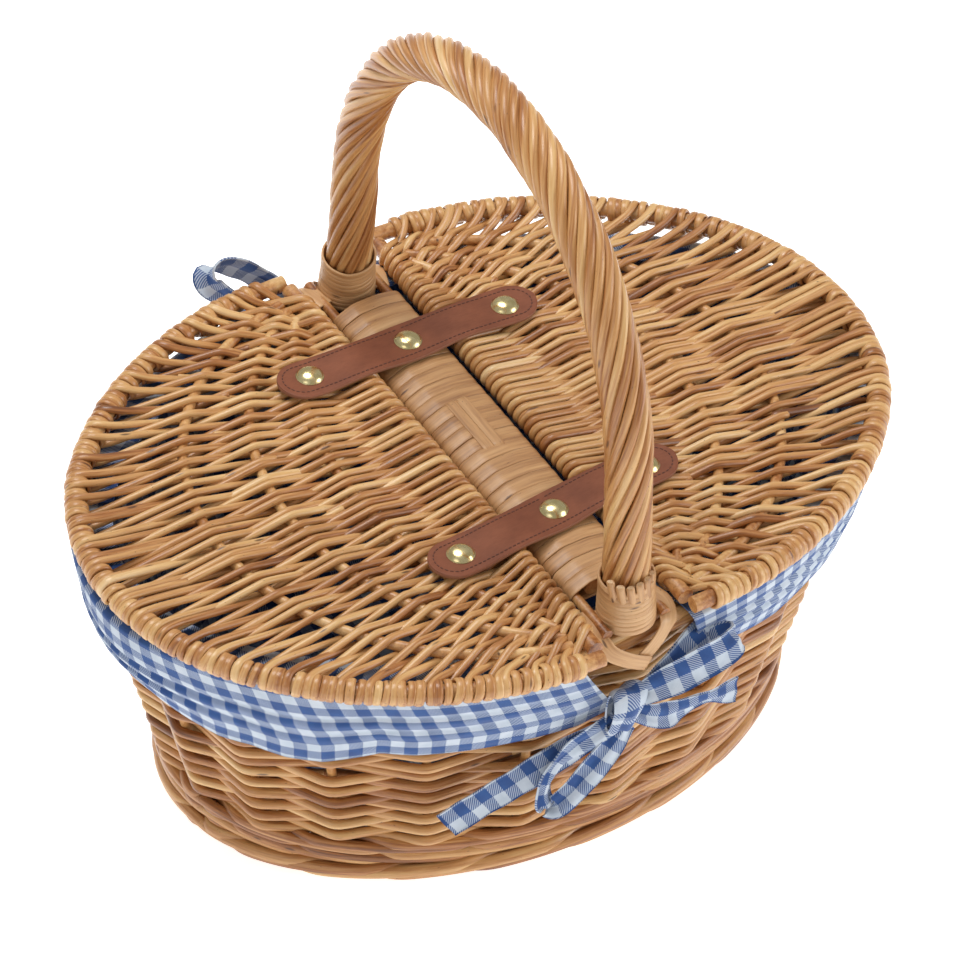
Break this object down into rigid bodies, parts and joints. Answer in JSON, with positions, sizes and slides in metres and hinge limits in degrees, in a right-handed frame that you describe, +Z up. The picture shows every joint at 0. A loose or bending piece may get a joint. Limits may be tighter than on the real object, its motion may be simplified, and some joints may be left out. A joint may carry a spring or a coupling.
{
  "type": "wicker picnic basket",
  "caption": "Oval woven willow picnic basket with two D-shaped lids hinged on leather straps, a fixed roped arch handle, and a gingham lining folded out over the rim and tied in bows.",
  "frame": {"origin": "centre of the footprint, on the surface that the basket stands on", "axes": "+X along the oval through both lids, +Y along the bridge under the handle to the back bow, +Z up"},
  "size_m": [0.4082, 0.3112, 0.3759],
  "materials": {
    "willow": "satin varnished round willow rod, golden tan",
    "body_willow": "satin varnished round willow rod, slightly browner",
    "cane": "satin flat split cane",
    "leather": "matte reddish-brown leather with edge stitching",
    "brass": "polished pale brass",
    "zinc": "dull zinc washer",
    "gingham": "woven blue and white quarter-inch gingham cotton"
  },
  "bodies": {
    "basket": {"base_mat": "body_willow", "base_sticks": "body_willow", "bow_back_knot": "gingham", "bow_back_loops": "gingham", "bow_back_tails": "gingham", "bow_front_knot": "gingham", "bow_front_loops": "gingham", "bow_front_tails": "gingham", "bridge_cane_wrap": "cane", "bridge_inlay_strips": "cane", "bridge_rods": "willow", "bridge_stud_washers": "zinc", "bridge_studs": "brass", "foot_border": "body_willow", "foot_lashing_back": "cane", "foot_lashing_front": "cane", "handle_binding_back": "cane", "handle_binding_front": "cane", "handle_core": "willow", "handle_roping": "willow", "lining_bag": "gingham", "lining_cuff_left": "gingham", "lining_cuff_right": "gingham", "rim_border": "body_willow", "side_weave": "body_willow", "strap_back": "leather", "strap_front": "leather", "wall_stakes": "body_willow"},
    "left_lid": {"left_lid_border_rod": "willow", "left_lid_border_wrap": "willow", "left_lid_hinge_rod": "willow", "left_lid_hinge_wrap": "willow", "left_lid_rib_inner": "willow", "left_lid_rib_middle": "willow", "left_lid_rib_outer": "willow", "left_lid_stud_washers": "zinc", "left_lid_studs": "brass", "left_lid_weave": "willow"},
    "right_lid": {"right_lid_border_rod": "willow", "right_lid_border_wrap": "willow", "right_lid_hinge_rod": "willow", "right_lid_hinge_wrap": "willow", "right_lid_rib_inner": "willow", "right_lid_rib_middle": "willow", "right_lid_rib_outer": "willow", "right_lid_stud_washers": "zinc", "right_lid_studs": "brass", "right_lid_weave": "willow"}
  },
  "joints": [
    {"name": "left_lid_hinge", "type": "hinge", "parent": "basket", "child": "left_lid", "pos_m": [-0.02, 0, 0.1705], "axis": [0, 1, 0], "range_deg": [0, 92], "deforming": ["strap_front", "strap_back"]},
    {"name": "right_lid_hinge", "type": "hinge", "parent": "basket", "child": "right_lid", "pos_m": [0.02, 0, 0.1705], "axis": [0, -1, 0], "range_deg": [0, 92], "deforming": ["strap_front", "strap_back"]}
  ]
}
